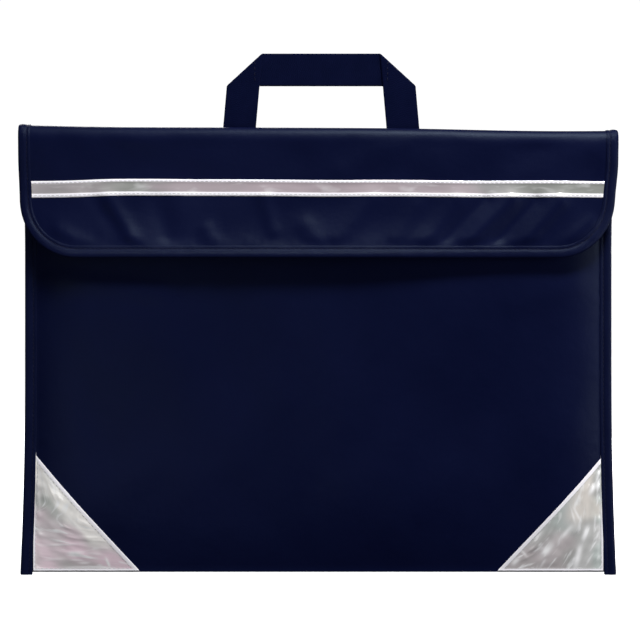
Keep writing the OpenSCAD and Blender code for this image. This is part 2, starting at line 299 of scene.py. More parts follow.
def sheet_mesh(name, surface, p, q, thickness, lift=0.0, attributes=None):
    """A closed thin sheet over a grid of parameters; its outer face lies lift above the surface."""
    rows, cols = p.shape
    here, n = surface(p, q)
    lift = np.asarray(lift) + 0 * p
    thickness = np.asarray(thickness) + 0 * p
    outer = (here + n * lift[..., None]).reshape(-1, 3)
    inner = (here + n * (lift - thickness)[..., None]).reshape(-1, 3)
    verts = np.concatenate([outer, inner])
    index = np.arange(rows * cols).reshape(rows, cols)
    a, b = index[:-1, :-1].ravel(), index[:-1, 1:].ravel()
    c, d = index[1:, 1:].ravel(), index[1:, :-1].ravel()
    back = rows * cols
    faces = np.stack([a, b, c, d], 1).tolist()
    faces += np.stack([d + back, c + back, b + back, a + back], 1).tolist()
    rim = list(index[0, :]) + list(index[1:, -1]) + list(index[-1, -2::-1]) + list(index[-2:0:-1, 0])
    for i, j in zip(rim, rim[1:] + rim[:1]):
        faces.append([j, i, i + back, j + back])
    # the grid may turn either way, so the faces are turned to agree with the normals
    faces = facing(faces, verts, n.reshape(-1, 3)[0])
    uvs = np.tile(np.stack([p.ravel(), q.ravel()], 1), (2, 1))
    both = {k: np.tile(np.asarray(w).ravel(), 2) for k, w in (attributes or {}).items()}
    return make(name, verts, faces, uvs, both)


def sweep(name, surface, line, inward, section):
    """A band along a line of parameters. section holds (distance inward, height) pairs, as a closed loop."""
    section = np.asarray(section, float)
    count, size = len(line), len(section)
    p = line[:, None, :] + inward[:, None, :] * section[None, :, 0:1]
    here, n = surface(p[..., 0], p[..., 1])
    verts = (here + n * section[None, :, 1:2]).reshape(-1, 3)
    uvs = np.stack([np.repeat(run_length(line), size), np.tile(run_length(section), count)], 1)
    faces = facing(tube_faces(count, size), verts, verts[0] - verts[:size].mean(0))
    return make(name, verts, faces, uvs, sharp=50)


STITCH_PITCH, STITCH_LENGTH, STITCH_SIDES = 3.4, 2.7, 6
# a stitch's thickness along its length, both as shares
STITCH_PROFILE = [(-0.5, 0.25), (-0.36, 0.85), (0, 1.0), (0.36, 0.85), (0.5, 0.25)]


def stitches(name, surface, line, height=0.0, width=0.55, rise=0.32):
    """One separate raised stitch after another along a line of parameters."""
    line = np.asarray(line, float)
    here, n = surface(line[:, 0], line[:, 1])
    pos = here + n * height
    s = run_length(pos)
    number = max(1, int(s[-1] / STITCH_PITCH))

    def at(distance, values):
        return np.array([np.interp(distance, s, values[:, k]) for k in range(3)])

    ring = [(math.cos(a), math.sin(a)) for a in np.linspace(0, 2 * math.pi, STITCH_SIDES, endpoint=False)]
    one_stitch = tube_faces(len(STITCH_PROFILE), STITCH_SIDES)
    verts, faces = [], []
    for i in range(number):
        middle = (i + 0.5) * s[-1] / number
        a, b = at(middle - STITCH_LENGTH / 2, pos), at(middle + STITCH_LENGTH / 2, pos)
        up = at(middle, n)
        along = (b - a) / (np.linalg.norm(b - a) + TINY)
        side = np.cross(along, up)
        side /= np.linalg.norm(side) + TINY
        faces += [[len(verts) + k for k in f] for f in one_stitch]
        for f, r in STITCH_PROFILE:
            centre = (a + b) / 2 + along * f * STITCH_LENGTH - up * rise * 0.35 * (2 * f) ** 2
            verts += [centre + side * cx * width / 2 * r + up * cz * rise / 2 * r * 1.2 for cx, cz in ring]
    return make(name, verts, faces, uvs=[(v[0], v[2]) for v in verts], sharp=0)


# ---------------------------------------------------------------- materials
class Nodes:
    """A short way to write a node material."""

    def __init__(self, name, colour, roughness, specular):
        self.material = bpy.data.materials.new(name)
        self.material.use_nodes = True
        self.tree = self.material.node_tree
        self.shader = self.tree.nodes["Principled BSDF"]
        self.height = None
        self.set("Base Color", (*colour, 1))
        self.set("Roughness", roughness)
        self.set("Specular IOR Level", specular)

    def set(self, socket, value):
        self.shader.inputs[socket].default_value = value

    def sheen(self, weight, roughness, tint):
        self.set("Sheen Weight", weight)
        self.set("Sheen Roughness", roughness)
        self.set("Sheen Tint", (*tint, 1))

    def node(self, kind, **settings):
        made = self.tree.nodes.new(kind)
        for key, value in settings.items():
            setattr(made, key, value)
        return made

    def link(self, output, socket):
        self.tree.links.new(output, socket)

    def feed(self, socket, output):
        """Drives one of the shader's own inputs."""
        self.link(output, self.shader.inputs[socket])

    def fill(self, made, values):
        """Sets or links inputs of a node, from a dict of socket and value."""
        for socket, value in values.items():
            if isinstance(value, (int, float)):
                made.inputs[socket].default_value = value
            elif isinstance(value, tuple):
                made.inputs[socket].default_value = (*value, 1)
            else:
                self.link(value, made.inputs[socket])
        return made.outputs

    def maths(self, operation, *terms, clamp=False):
        made = self.node("ShaderNodeMath", operation=operation, use_clamp=clamp)
        return self.fill(made, dict(enumerate(terms)))[0]

    def uv(self):
        coords = self.node("ShaderNodeUVMap", uv_map="UVMap")
        split = self.fill(self.node("ShaderNodeSeparateXYZ"), {0: coords.outputs["UV"]})
        return coords.outputs["UV"], split[0], split[1]

    def attribute(self, name):
        """A value stored at each point of the mesh."""
        return self.node("ShaderNodeAttribute", attribute_name=name).outputs["Fac"]

    def noise(self, vector, scale, detail=3.0, roughness=0.55, distortion=0.0):
        return self.fill(self.node("ShaderNodeTexNoise"), {
            "Vector": vector, "Scale": scale, "Detail": detail, "Roughness": roughness,
            "Distortion": distortion})["Fac"]

    def grey(self, factor, stops):
        """A grey level that runs between two (position, level) stops."""
        made = self.node("ShaderNodeValToRGB")
        for end, (position, level) in zip(made.color_ramp.elements, stops):
            end.position = position
            end.color = (level, level, level, 1)
        return self.fill(made, {0: factor})[0]

    def mix(self, factor, a, b):
        """A colour between a and b."""
        return self.fill(self.node("ShaderNodeMix", data_type="RGBA"), {0: factor, 6: a, 7: b})[2]

    def bump(self, height, distance, strength):
        """Adds a bump on top of those already made."""
        values = {"Height": height, "Distance": distance, "Strength": strength}
        if self.height is not None:
            values["Normal"] = self.height
        self.height = self.fill(self.node("ShaderNodeBump"), values)[0]

    def done(self):
        self.feed("Normal", self.height)
        return self.material

    def weave(self, u, v, pitch):
        """Height of a plain weave: threads pass over and under each other."""
        k = 2 * math.pi / pitch
        a = self.maths("SINE", self.maths("MULTIPLY", u, k))
        b = self.maths("SINE", self.maths("MULTIPLY", v, k))
        return self.maths("MULTIPLY_ADD", self.maths("MULTIPLY", a, b), 0.5, 0.5)


def scaled(colour, factor):
    """A darker or brighter shade of the same colour."""
    return tuple(min(1, c * factor) for c in colour)


BLUE_SHINE = (0.62, 0.80, 1.0, 1)
# the streak and glint whites are painted highlights; the border white is the welded edge's own colour
PAINTED_STREAK_WHITE, PAINTED_GLINT_WHITE, BORDER_WHITE = (0.93, 0.93, 0.94), (1.0, 0.99, 1.0), (0.93, 0.91, 0.96)


def coated_cloth(name, colour, pale, roughness):
    """Closely woven cloth under a thin coating: faint weave, soft creases and a satin shine."""
    m = Nodes(name, colour, roughness, specular=0.10)
    vector, u, v = m.uv()
    clouds = m.noise(vector, 9.0, 4.0)
    m.feed("Base Color", m.mix(m.grey(clouds, [(0.35, 0.0), (0.7, 1.0)]), colour, pale))
    m.feed("Roughness", m.maths("MULTIPLY_ADD", clouds, 0.16, roughness - 0.08))
    m.sheen(0.01, 0.4, (0.4, 0.5, 1.0))
    m.set("Specular Tint", BLUE_SHINE)
    m.bump(m.noise(vector, 60.0, 4.0, 0.6), 0.0009, 0.35)
    m.bump(m.weave(u, v, 0.0011), 0.00006, 0.6)
    m.bump(m.noise(vector, 900.0), 0.00005, 0.5)
    return m.done()


def ribbed_tape(name, colour, pale, pitch, depth, roughness, specular):
    """Woven tape or webbing: ribs that slant in pairs, with a little fuzz."""
    m = Nodes(name, colour, roughness, specular)
    vector, u, v = m.uv()
    k = 2 * math.pi / pitch
    slant = m.maths("ADD", u, m.maths("PINGPONG", v, pitch * 2))
    rib = m.maths("SINE", m.maths("MULTIPLY", slant, k))
    cross = m.maths("SINE", m.maths("MULTIPLY", v, k * 1.3))
    height = m.maths("MULTIPLY_ADD", m.maths("MULTIPLY", rib, cross), 0.5, 0.5)
    clouds = m.noise(vector, 60.0, 4.0)
    worn = m.mix(m.grey(clouds, [(0.3, 0.0), (0.75, 1.0)]), colour, pale)
    # painted shade: the ribs' hollows are coloured darker than their crowns
    m.feed("Base Color", m.mix(m.grey(height, [(0.0, 0.0), (0.45, 1.0)]), scaled(colour, 0.7), worn))
    m.sheen(0.02, 0.5, (0.55, 0.6, 1.0))
    m.set("Specular Tint", BLUE_SHINE)
    m.bump(height, depth, 0.8)
    m.bump(m.noise(vector, 1500.0, 2.0), depth * 0.5, 0.4)
    return m.done()


def thread(name, colour):
    """Twisted sewing thread."""
    m = Nodes(name, colour, 0.6, specular=0.15)
    _, u, v = m.uv()
    twist = m.maths("SINE", m.maths("MULTIPLY", m.maths("ADD", u, v), 2 * math.pi / 0.0006))
    height = m.maths("MULTIPLY_ADD", twist, 0.5, 0.5)
    # painted shade: the grooves of the twist are coloured darker
    m.feed("Base Color", m.mix(m.grey(height, [(0.2, 0.0), (0.8, 1.0)]), scaled(colour, 0.5), colour))
    m.bump(height, 0.00008, 0.8)
    return m.done()


def hook_and_loop(name, colour, scale):
    """Tufts of fine loops or hooks."""
    m = Nodes(name, colour, 0.85, specular=0.2)
    tufts = m.noise(m.uv()[0], scale, 5.0, 0.7)
    # painted shade deep in the pile and painted light on the tufts' tips
    painted_pile_shading = m.grey(tufts, [(0.35, 0.0), (0.7, 1.0)])
    m.feed("Base Color", m.mix(painted_pile_shading, scaled(colour, 0.3), scaled(colour, 2.4)))
    m.sheen(0.12, 0.6, (0.5, 0.6, 1.0))
    m.bump(tufts, 0.0006, 0.9)
    return m.done()


def pearl_film(name, streak_scale, border, roughness, palette, painted_shine, crumple=0.0008):
    """Silver film under clear plastic: pearly pools of pink, cream and green, white welded borders, and
    painted highlight streaks and glints.
    """
    plain, dull, pink, cream, cool = palette
    m = Nodes(name, plain, roughness, specular=0.5)
    vector = m.uv()[0]
    stretch = m.fill(m.node("ShaderNodeMapping"), {"Vector": vector})[0]
    stretch.node.inputs["Scale"].default_value = streak_scale
    pools = m.noise(stretch, 0.6, 2.0, 0.5, 0.6)
    streaks = m.noise(stretch, 2.6, 2.0, 0.5, 0.5)
    tint = m.mix(m.grey(pools, [(0.38, 1.0), (0.62, 0.0)]), plain, dull)
    for key, colour in (("cool", cool), ("pink", pink), ("cream", cream)):
        tint = m.mix(m.maths("MULTIPLY", m.attribute(key), 0.9, clamp=True), tint, colour)
    tint = m.mix(m.grey(pools, [(0.30, 0.30), (0.5, 0.0)]), tint, dull)
    # painted highlight: pale streaks of the film are turned toward white
    tint = m.mix(m.grey(streaks, [(0.56, 0.0), (0.70, painted_shine)]), tint, PAINTED_STREAK_WHITE)
    broken = m.grey(streaks, [(0.30, 0.85), (0.50, 1.0)])
    # painted highlight: the film's colour turns white at its glints
    tint = m.mix(m.maths("MULTIPLY", m.attribute("painted_glint"), broken, clamp=True), tint, PAINTED_GLINT_WHITE)
    edge = m.grey(m.maths("DIVIDE", m.attribute("rim"), border * 1.15), [(0.78, 1.0), (0.92, 0.0)])
    m.feed("Base Color", m.mix(edge, tint, BORDER_WHITE))
    m.set("Coat Weight", 0.8)
    m.set("Coat Roughness", 0.10)
    m.bump(pools, crumple, 0.4)
    m.bump(m.noise(vector, 300.0, 2.0), 0.00006, 0.3)
    return m.done()


CLOTH_MAT = coated_cloth("coated_cloth", (0.0017, 0.0030, 0.0215), (0.0025, 0.0041, 0.0270), 0.42)
TAPE_MAT = ribbed_tape("binding_tape", (0.0016, 0.0029, 0.0215), (0.0030, 0.0046, 0.028),
                       pitch=0.0009, depth=0.00008, roughness=0.42, specular=0.10)
WEB_MAT = ribbed_tape("webbing", (0.0012, 0.0024, 0.0180), (0.0022, 0.0036, 0.024),
                      pitch=0.0014, depth=0.00014, roughness=0.7, specular=0.03)
THREADS = {"navy_thread": thread("navy_thread", (0.0030, 0.0044, 0.026)),
           "pale_thread": thread("pale_thread", (0.70, 0.69, 0.72))}
LOOP_MAT = hook_and_loop("loop_pile", (0.008, 0.010, 0.040), 700.0)
HOOK_MAT = hook_and_loop("hook_pile", (0.006, 0.008, 0.030), 1100.0)
# each film's palette: plain, dull, pink, cream and cool
STRIP_FILM = [(0.40, 0.39, 0.39), (0.33, 0.325, 0.325), (0.44, 0.365, 0.40), (0.52, 0.50, 0.46),
              (0.245, 0.255, 0.235)]
LEFT_FILM = [(0.72, 0.70, 0.70), (0.47, 0.46, 0.45), (0.88, 0.67, 0.76), (1.0, 0.97, 0.93),
             (0.46, 0.50, 0.46)]
RIGHT_FILM = [(0.57, 0.565, 0.56), (0.40, 0.40, 0.39), (0.66, 0.56, 0.585), (0.76, 0.70, 0.64),
              (0.44, 0.50, 0.48)]
PATCH_STREAKS = (16.0, 90.0, 1.0)
STRIP_MAT = pearl_film("pearl_strip", (18.0, 60.0, 1.0), 2.9, 0.30, STRIP_FILM, 0.25)
PATCH_MATS = {-1: pearl_film("pearl_patch_left", PATCH_STREAKS, 2.6, 0.22, LEFT_FILM, 0.9, 0.0004),
              1: pearl_film("pearl_patch_right", PATCH_STREAKS, 2.6, 0.22, RIGHT_FILM, 0.75)}


def finish_piece(piece, body, slot, material, *nodes):
    piece.data.materials.append(material)
    if body:
        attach(piece, body)
    if nodes:
        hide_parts(*nodes)
    return piece


def sew(name, body, surface, line, *nodes, slot="navy_thread", **shape):
    """A row of stitches, as a piece of its own."""
    return finish_piece(stitches(name, surface, line, **shape), body, slot, THREADS[slot], *nodes)


# ---------------------------------------------------------------- cloth over the back and fold
rows = np.concatenate([np.arange(S_BACK, -24, 4.0), np.arange(-24, -0.01, 1.0), [0.0]])
u = np.linspace(-1, 1, 121)
s_grid, u_grid = np.meshgrid(rows, u, indexing="ij")
x_grid = u_grid * cloth_half(path_at(rows)[1])[:, None]
back_cloth = sheet_mesh("back_cloth", over, x_grid, s_grid, CLOTH)
finish_piece(back_cloth, None, "coated_cloth", CLOTH_MAT, "back_panel", "top_fold")
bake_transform(back_cloth)


# ---------------------------------------------------------------- the flap
def flap_half(s):
    """Half width of the flap's cloth: the case's at the fold, a little more below it."""
    return CASE_HALF + (FLAP_HALF - CASE_HALF) * smooth(s / 24)


turn = np.linspace(0, math.pi / 2, 26)
straight = np.arange(0, S_END - FLAP_R, 1.6)
rows = np.concatenate([straight, S_END - FLAP_R * (1 - np.sin(turn))])
halves = np.concatenate([flap_half(straight), FLAP_HALF - FLAP_R * (1 - np.cos(turn))])
u = np.linspace(-1, 1, 281)
s_grid, u_grid = np.meshgrid(rows, u, indexing="ij")
flap_cloth = sheet_mesh("flap_cloth", over, u_grid * halves[:, None], s_grid, CLOTH)
finish_piece(flap_cloth, None, "coated_cloth", CLOTH_MAT, "flap_panel")
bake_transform(flap_cloth)


# ---------------------------------------------------------------- bound edges
def tape_section(thickness, puff):
    """Folded tape round an edge: a puffed outside with a sunk line of stitches on each face."""
    face = [(TAPE_W, 0.03), (TAPE_W, 0.42), (TAPE_W - 0.3, 0.58), (GROOVE + 0.7, 0.62), (GROOVE + 0.25, 0.40),
            (GROOVE - 0.25, 0.40), (GROOVE - 0.8, 0.72), (GROOVE - 2.0, puff - 0.05), (3.0, puff),
            (1.6, puff - 0.08), (0.5, 0.62), (-0.2, 0.30)]
    mirrored = [(a, -thickness - h) for a, h in reversed(face)]
    inner = [(0.05, -thickness - 0.02), (0.05, 0.02)]
    return face + [(-0.62, -thickness / 2)] + mirrored + inner


def bind(name, body, surface, edge, node, thickness=CLOTH, puff=0.95):
    """Tape folded round an edge, which is a line and the way in from it at each point."""
    piece = sweep(name, surface, *edge, tape_section(thickness, puff))
    return finish_piece(piece, body, "binding_tape", TAPE_MAT, node)


def side_line(sign, z_values, along):
    """The case's side edge, with the way along the surface at each height, and the way in from it."""
    line = np.stack([sign * cloth_half(z_values), along], 1)
    return line, np.tile([-sign, 0.0], (len(line), 1))


def flap_line():
    """The flap's edge from the left end of the fold, round both corners, to the right end."""
    corner_x, corner_s = FLAP_HALF - FLAP_R, S_END - FLAP_R
    side_s = np.arange(0.0, corner_s, 2.0)
    side = np.stack([flap_half(side_s), side_s], 1)
    angles = np.linspace(0, math.pi / 2, 30)
    turn = np.stack([np.cos(angles), np.sin(angles)], 1)
    # the right half, from the fold to the end of the corner, with the way in at each point
    half = np.concatenate([side, turn * FLAP_R + [corner_x, corner_s]])
    half_in = np.concatenate([np.tile([-1.0, 0.0], (len(side), 1)), -turn])
    middle_x = np.arange(-corner_x + 3, corner_x - 1, 3.0)
    middle = np.stack([middle_x, np.full(len(middle_x), S_END)], 1)
    line = np.concatenate([half * [-1, 1], middle, half[::-1]])
    inward = np.concatenate([half_in * [-1, 1], np.tile([0.0, -1.0], (len(middle), 1)), half_in[::-1]])
    return line, inward


line, inward = flap_line()
flap_tape = bind("flap_tape", None, over, (line, inward), "flap_binding")
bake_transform(flap_tape)

# the same line of stitches shows on both faces of the tape
thread_line = line + inward * GROOVE
thread_line = thread_line[thread_line[:, 1] > 3]
for face, height in (("front", GROOVE_LIFT), ("inner", -CLOTH - GROOVE_LIFT)):
    nodes = ["flap_thread"] if face == "front" else []
    piece = sew(f"flap_stitches_{face}", None, over, thread_line, *nodes, height=height)
    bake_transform(piece)

for name, sign in (("left", -1), ("right", 1)):
    s_values = np.concatenate([np.arange(-16, -0.01, 1.0), [0.0]])
    edge = side_line(sign, path_at(s_values)[1], s_values)
    piece = bind(f"fold_tape_{name}", None, over, edge, f"fold_binding_{name}")
    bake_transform(piece)

    z_values = np.concatenate([[0.0, 1.5], np.arange(CLOTH_Z, CREASE_Z - 8, 4.0), [CREASE_Z - 6.5]])
    line, inward = side_line(sign, z_values, z_values)
    bind(f"side_tape_{name}", "case", front, (line, inward), f"side_binding_{name}", thickness=2 * CLOTH)

    for face, height in (("front", GROOVE_LIFT), ("back", -2 * CLOTH - GROOVE_LIFT)):
        nodes = [f"side_thread_{name}"] if face == "front" else []
        thread_line = line[2:] + inward[2:] * GROOVE
        sew(f"side_stitches_{name}_{face}", "case", front, thread_line, *nodes, height=height)

# ---------------------------------------------------------------- front cloth
rows = np.concatenate([np.arange(CLOTH_Z, 60, 2.5), np.arange(60, MOUTH_Z - 3, 3.5), [MOUTH_Z]])
u = np.concatenate([np.linspace(-1, -0.8, 22)[:-1], np.linspace(-0.8, 0.8, 110), np.linspace(0.8, 1, 22)[1:]])
z_grid, u_grid = np.meshgrid(rows, u, indexing="ij")
front_cloth = sheet_mesh("front_cloth", front, u_grid * cloth_half(rows)[:, None], z_grid, CLOTH)
finish_piece(front_cloth, "case", "coated_cloth", CLOTH_MAT)
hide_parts("front_panel")

# the cloth turned up under the pocket
FOOT_R = 0.8
edge_x = cloth_half(CLOTH_Z) - TAPE_W
turn = np.linspace(0, math.pi / 2, 7)
section = [(BACK_Y - FOOT_R * (1 - math.cos(a)), CLOTH_Z - math.sin(a)) for a in turn]
section += [(INNER_Y - CLOTH + FOOT_R * (1 - math.cos(a)), CLOTH_Z - math.sin(a)) for a in turn[::-1]]
xs = np.append(np.arange(-edge_x, edge_x - 3, 4.0), edge_x)
verts = np.array([(x, y, z) for x in xs for y, z in section])
faces = facing(tube_faces(len(xs), len(section)), verts, (0, 1, 0))
bottom_fold = make("bottom_fold", verts, faces, uvs=verts[:, :2])
finish_piece(bottom_fold, "case", "coated_cloth", CLOTH_MAT)

# tape over the pocket's mouth
xs = np.arange(-SEAM_X + 3, SEAM_X - 2, 4.0)
line = np.stack([xs, np.full(len(xs), MOUTH_Z)], 1)
inward = np.tile([0.0, -1.0], (len(xs), 1))
bind("mouth_tape", "case", front, (line, inward), "mouth_binding", puff=0.75)
sew("mouth_stitches", "case", front, line + inward * GROOVE, "mouth_thread", height=GROOVE_LIFT)

# ---------------------------------------------------------------- reflective strip
strip_low, strip_high = low("reflective_strip"), high("reflective_strip")
STRIP_H = strip_high[2] - strip_low[2]
strip_s = s_at(strip_low[2] + STRIP_H / 2) - STRIP_H / 2
strip_half = strip_high[0] - 0.4


# the pale stitches on the film are finer than the rest
FINE = {"slot": "pale_thread", "width": 0.5, "rise": 0.22}


def strip_wave(x):
    """The strip is sewn on a little unevenly: its left end hangs lower."""
    left = 0.8 * smooth((-x - 150) / 50) - 0.7 * np.exp(-((x + 115) / 60) ** 2)
    return left + 0.6 * smooth((x - 20) / 150) + 0.12 * np.sin(x / 17.0 + 1)


def strip_tones(x, a):
    """Where the strip is pink and where it is grey-green, and how far it is from its pale borders."""
    drift = 9 * ripples(x, a * 3, 40, 61)
    pink = smooth((x + drift + 128) / 24) * smooth((140 - x + drift) / 50) + 0.35 * smooth((-x - 150) / 20)
    cool = 0.75 * np.exp(-((x + drift + 143) / 17) ** 2) + smooth((x + drift - 118) / 80)
    return {"rim": np.minimum(a * 1.45, (STRIP_H - a) * 0.95), "pink": pink, "cool": np.clip(cool, 0, 1),
            "cream": 0 * x, "painted_glint": 0 * x}


xs = np.linspace(-strip_half, strip_half, 240)
# rows of the strip's mesh, as shares of its width, closer together at its borders
across = np.array([0, 0.25, 0.7, 1.5, 2.2, 2.75, 3.1, 4.2, 5.5, 6.75,
                   8, 9.3, 10.4, 10.75, 11.3, 12, 12.8, 13.25, 13.5]) / 13.5 * STRIP_H
a_grid, x_grid = np.meshgrid(across, xs, indexing="ij")
from_edge = np.minimum(a_grid, STRIP_H - a_grid)
profile = 0.35 + 0.42 * smooth(from_edge / 0.7) - 0.20 * smooth((from_edge - 2.3) / 0.8)
profile = profile + 0.10 * smooth((from_edge - 3.2) / 1.5) * ripples(x_grid, a_grid * 2, 24, 31)
strip = sheet_mesh("reflective_strip_film", over, x_grid, strip_s + a_grid + strip_wave(x_grid), 0.5,
                   lift=profile, attributes=strip_tones(x_grid, a_grid))
finish_piece(strip, "flap", "reflective_film", STRIP_MAT, "reflective_strip")
xs = np.linspace(-strip_half + 1, strip_half - 1, 240)
for name, at in (("upper", 1.5), ("lower", STRIP_H - 1.5)):
    line = np.stack([xs, strip_s + at + strip_wave(xs)], 1)
    nodes = ["strip_thread"] if name == "upper" else []
    sew(f"strip_stitches_{name}", "flap", over, line, *nodes, height=0.78, **FINE)


# ---------------------------------------------------------------- corner patches
def streak_way(x, z, side):
    """Coordinates along and across the film's creases, which turn from one end of a patch to the other."""
    if side < 0:
        angle = math.radians(-4) - math.radians(68) * smooth((z - 20) / 34)
    else:
        angle = math.radians(124) - math.radians(14) * smooth((z - 14) / 40) + 0.25 * smooth((x - 40) / 30)
    sway = 2 * ripples(x, z, 45, 71 + int(side))
    along = x * np.cos(angle) + z * np.sin(angle)
    return along, -x * np.sin(angle) + z * np.cos(angle) + 0.5 * sway


def crinkle(along, across, seed):
    """Sharp-crested creases that run roughly one way, as thick film makes."""
    rng = np.random.RandomState(seed)
    total = 0
    for reach in (21, 14, 10, 7.5):
        fade = 0.55 + 0.45 * ripples(along, across, 36, int(rng.randint(1000)), 5)
        turned = across + 0.16 * rng.uniform(-1, 1) * along
        wave = np.abs(np.sin(math.pi / reach * turned + rng.uniform(0, math.pi)))
        total = total + (1 - wave) ** 1.4 * np.clip(fade, 0, 1.3) * reach / 20
    return total / 1.8


# facets of the crumpled film, raised a little, whose colour is painted white as glints (painted highlight):
# in from the side tape, up, turn, length, width, strength
FILM_FACETS_AND_PAINTED_GLINTS = {
    -1: [(31.5, 13.5, 0, 11, 2.8, 1.0), (22, 20, 3, 24, 1.6, 0.6), (57, 6, -66, 8, 2.2, 1.0),
         (43, 2.8, 0, 36, 1.5, 0.8), (39, 6, 2, 8, 1.6, 0.6), (15, 66, -72, 12, 2.0, 0.8),
         (4.5, 57, -87, 26, 2.2, 0.45), (15, 8.5, 4, 15, 1.4, 0.45), (9, 76, -78, 9, 1.8, 0.6),
         (30, 38, -46, 20, 3.0, 0.35), (47, 13, -5, 12, 1.4, 0.4)],
    1: [(14, 29, 108, 12, 4.2, 0.95), (19.5, 11, 102, 19, 4.6, 1.0), (43, 16, 128, 11, 5.0, 0.95),
        (29.5, 29, 130, 13, 3.2, 0.7), (9, 62, 118, 8, 3.8, 0.95), (21, 44, 60, 11, 1.6, 0.7),
        (24, 43, 74, 12, 1.3, 0.55), (50, 27, 128, 9, 2.0, 0.5), (67, 7, 135, 7, 4.0, 0.8),
        (61, 14, 50, 8, 2.0, 0.6), (4.5, 73, 112, 9, 2.4, 0.5), (46, 6, 122, 8, 2.2, 0.5),
        (3, 30, 92, 40, 2.6, 0.25)],
}


def facets_and_painted_glints(x, z, side):
    """How strong each place's facet is, and its painted glint, which is painted highlight. x runs in from the
    side tape.
    """
    total = 0 * x
    for at_x, at_z, turn, length, width, strength in FILM_FACETS_AND_PAINTED_GLINTS[side]:
        c, s = math.cos(math.radians(turn)), math.sin(math.radians(turn))
        along = ((x - at_x) * c + (z - at_z) * s) / (0.5 * length)
        across = ((z - at_z) * c - (x - at_x) * s) / (0.5 * width)
        total = np.maximum(total, strength * np.exp(-np.abs(along) ** 2.5 - across ** 2))
    return total


def patch_tones(x, z, side, slope, rims):
    """How pink, cream or grey-green the film is at each place. x runs in from the side tape."""
    drift = 5 * ripples(x, z, 30, 81)
    if side < 0:
        cream = np.exp(-(np.maximum(slope - 10.5 + 0.35 * drift, 0) / 3.5) ** 2) * smooth((z - 14) / 11)
        cool = 0.75 * smooth((z - 28 + drift) / 16) * np.exp(-((x - 14 + drift) / 6.5) ** 2)
        patches = np.clip(0.72 + 0.4 * ripples(x, z * 1.6, 26, 83), 0.15, 1.1)
        pink = 0.85 * smooth((50 - z + drift) / 24) * patches
    else:
        cream = 0.8 * np.exp(-((x - 15 + drift) / 7) ** 2) * smooth((z - 32) / 14)
        cool = np.maximum(0.8 * smooth((9 - x + drift) / 8),
                          0.7 * np.exp(-((x - 33 + drift) / 9) ** 2) * smooth((z - 24) / 14))
        pink = 0.55 * smooth((34 - z + drift) / 20) * smooth((x - 18 + drift) / 16)
    # the glint strengths are painted highlight, not a colour of the film
    return {"rim": rims, "pink": pink, "cream": cream, "cool": cool, "painted_glint": facets_and_painted_glints(x, z, side)}


PATCH_EDGE, PATCH_FOOT = SEAM_X + WAIST_IN - 1.0, CLOTH_Z + 0.3
PATCH_STEPS = 120


def triangle_lattice(n):
    """Points of a triangle, as shares of its two straight sides, and the faces between them."""
    shares = np.array([(j / n, i / n) for i in range(n + 1) for j in range(n + 1 - i)])
    first = np.cumsum([0] + [n + 1 - i for i in range(n + 1)])
    faces = []
    for i in range(n):
        a, b = int(first[i]), int(first[i + 1])
        for j in range(n - i):
            faces.append([a + j, a + j + 1, b + j])
            if j < n - i - 1:
                faces.append([a + j + 1, b + j + 1, b + j])
    return shares, faces


def closed_shell(faces, count):
    """The same faces on a second layer of count points, facing the other way, and a rim between the two."""
    shell = faces + [[k + count for k in f[::-1]] for f in faces]
    edges = {(a, b) for f in faces for a, b in zip(f, f[1:] + f[:1])}
    return shell + [[b, a, a + count, b + count] for a, b in sorted(edges) if (b, a) not in edges]


def patch(name, sign, width, height, seed):
    """A triangle of film in a lower corner, on a lattice that follows its three edges."""
    shares, faces = triangle_lattice(PATCH_STEPS)
    across, up = shares[:, 0] * width, shares[:, 1] * height
    z = PATCH_FOOT + up
    depth = np.maximum(across, PATCH_EDGE - cloth_half(z) + TAPE_W + 0.1)
    x = sign * (PATCH_EDGE - depth)
    slopes = (1 - shares.sum(1)) * width * height / math.hypot(width, height)
    rims = np.minimum(slopes, np.minimum(up, across) + 1.2)
    here, normal = front(x, z)
    ways = streak_way(depth, up, sign)
    inside = smooth((rims - 2.6) / 5.0) * smooth((up - 1) / 11)
    lift = 0.45 + 0.25 * smooth(rims / 0.8) - 0.08 * smooth((rims - 2.6) / 0.8)
    facets = facets_and_painted_glints(depth, up, sign)
    creases = (0.6 if sign < 0 else 1.5) * crinkle(*ways, seed) * (1 - 0.7 * facets)
    lift = lift + inside * (creases - 0.1 + 0.06 * ripples(x, z, 9, seed + 5) + 0.25 * facets)
    verts = np.concatenate([here + normal * lift[:, None], here + normal * 0.03])
    faces = closed_shell(facing(faces, verts, normal[0]), len(here))
    uvs = np.tile(np.stack(ways, 1), (2, 1))
    tones = patch_tones(depth, up, sign, slopes, rims)
    piece = make(name, verts, faces, uvs, {key: np.tile(value, 2) for key, value in tones.items()}, sharp=60)
    finish_piece(piece, "case", "reflective_film", PATCH_MATS[sign])
    return piece


def patch_seam(sign, width, height):
    """The line of stitches inside a patch's three edges."""
    corner = np.array([PATCH_EDGE - 1.8, PATCH_FOOT + 1.6])
    far = corner + [7.3 - width, 0]
    top = corner + [0, height - 7.6]
    loop = []
    for a, b, gap, last in ((corner, far, 1.4, False), (far, top, 1.4, False), (top, corner, 1.8, True)):
        for t in np.linspace(0, 1, 60, endpoint=last):
            x, z = a + (b - a) * t
            tape = cloth_half(z) - TAPE_W - gap
            loop.append((sign * (tape if last else min(x, tape)), z))
    return np.array(loop)


for name, sign, width, height, seed in (("left", -1, 80.7, 90.0, 41), ("right", 1, 80.4, 87.5, 57)):
    piece = patch(f"corner_patch_film_{name}", sign, width, height, seed)
    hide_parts(f"corner_patch_{name}")
    seam = patch_seam(sign, width, height)
    sew(f"patch_stitches_{name}", "case", front, seam, f"patch_thread_{name}", height=0.66, **FINE)

